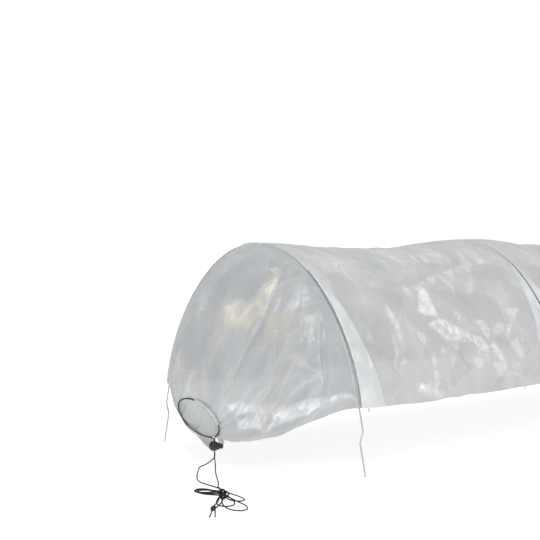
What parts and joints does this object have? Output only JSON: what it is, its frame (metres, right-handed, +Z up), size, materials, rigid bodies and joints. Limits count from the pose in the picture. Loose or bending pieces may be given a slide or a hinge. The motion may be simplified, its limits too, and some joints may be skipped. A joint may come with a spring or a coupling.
{
  "type": "row cover tunnel",
  "caption": "Low garden tunnel of clear film on arched wire hoops, folding like a concertina, with cord-drawn end sleeves and spring cord locks.",
  "frame": {"origin": "on the ground, under the middle of the tunnel", "axes": "+X along the tunnel towards its right end, +Z up, -Y the near side"},
  "size_m": [3.6453, 0.5989, 0.3936],
  "materials": {
    "galvanised_wire": "dull galvanised",
    "clear_film": "clear soft film, creased and glossy",
    "sleeve_film": "film in two layers, milky",
    "black_cord": "matte braided",
    "black_plastic": "semi-gloss moulded",
    "spring_steel": "bright"
  },
  "bodies": {
    "hoop_group_1": {"hoop_1": "galvanised_wire", "hoop_sleeve_1": "sleeve_film", "cover_bay_1": "clear_film", "cover_end_left": "clear_film", "drawcord_left": "black_cord", "cord_straight_left": "black_cord", "cord_hank_left": "black_cord", "cord_slack_left": "black_cord", "cord_wrap_left": "black_cord", "cord_end_left": "black_cord"},
    "hoop_group_2": {"hoop_2": "galvanised_wire", "hoop_sleeve_2": "sleeve_film", "cover_bay_2": "clear_film"},
    "hoop_group_3": {"hoop_3": "galvanised_wire", "hoop_sleeve_3": "sleeve_film", "cover_bay_3": "clear_film"},
    "hoop_group_4": {"hoop_4": "galvanised_wire", "hoop_sleeve_4": "sleeve_film", "cover_bay_4": "clear_film"},
    "hoop_group_5": {"hoop_5": "galvanised_wire", "hoop_sleeve_5": "sleeve_film", "cover_bay_5": "clear_film"},
    "hoop_group_6": {"hoop_6": "galvanised_wire", "hoop_sleeve_6": "sleeve_film", "cover_end_right": "clear_film", "drawcord_right": "black_cord", "cord_straight_right": "black_cord", "cord_hank_right": "black_cord", "cord_slack_right": "black_cord", "cord_wrap_right": "black_cord", "cord_end_right": "black_cord"},
    "lock_left": {"lock_body_left": "black_plastic", "lock_spring_left": "spring_steel"},
    "button_left": {"lock_plunger_left": "black_plastic"},
    "lock_right": {"lock_body_right": "black_plastic", "lock_spring_right": "spring_steel"},
    "button_right": {"lock_plunger_right": "black_plastic"}
  },
  "joints": [
    {"name": "bay_1_close", "type": "slide", "parent": "hoop_group_1", "child": "hoop_group_2", "axis": [-1, 0, 0], "range_m": [0, 0.57], "deforming": ["cover_bay_1"]},
    {"name": "bay_2_close", "type": "slide", "parent": "hoop_group_2", "child": "hoop_group_3", "axis": [-1, 0, 0], "range_m": [0, 0.57], "deforming": ["cover_bay_2"]},
    {"name": "bay_3_close", "type": "slide", "parent": "hoop_group_3", "child": "hoop_group_4", "axis": [-1, 0, 0], "range_m": [0, 0.57], "deforming": ["cover_bay_3"]},
    {"name": "bay_4_close", "type": "slide", "parent": "hoop_group_4", "child": "hoop_group_5", "axis": [-1, 0, 0], "range_m": [0, 0.57], "deforming": ["cover_bay_4"]},
    {"name": "bay_5_close", "type": "slide", "parent": "hoop_group_5", "child": "hoop_group_6", "axis": [-1, 0, 0], "range_m": [0, 0.57], "deforming": ["cover_bay_5"]},
    {"name": "lock_left_slide", "type": "slide", "parent": "hoop_group_1", "child": "lock_left", "axis": [0, 0, -1], "range_m": [0, 0.011]},
    {"name": "button_left_press", "type": "slide", "parent": "lock_left", "child": "button_left", "axis": [-0.7071, 0.7071, 0], "range_m": [0, 0.003], "stiffness_N_per_m": 900, "springref_m": -0.001, "deforming": ["lock_spring_left"]},
    {"name": "lock_right_slide", "type": "slide", "parent": "hoop_group_6", "child": "lock_right", "axis": [0, 0, -1], "range_m": [0, 0.011]},
    {"name": "button_right_press", "type": "slide", "parent": "lock_right", "child": "button_right", "axis": [0.7071, -0.7071, 0], "range_m": [0, 0.003], "stiffness_N_per_m": 900, "springref_m": -0.001, "deforming": ["lock_spring_right"]}
  ]
}
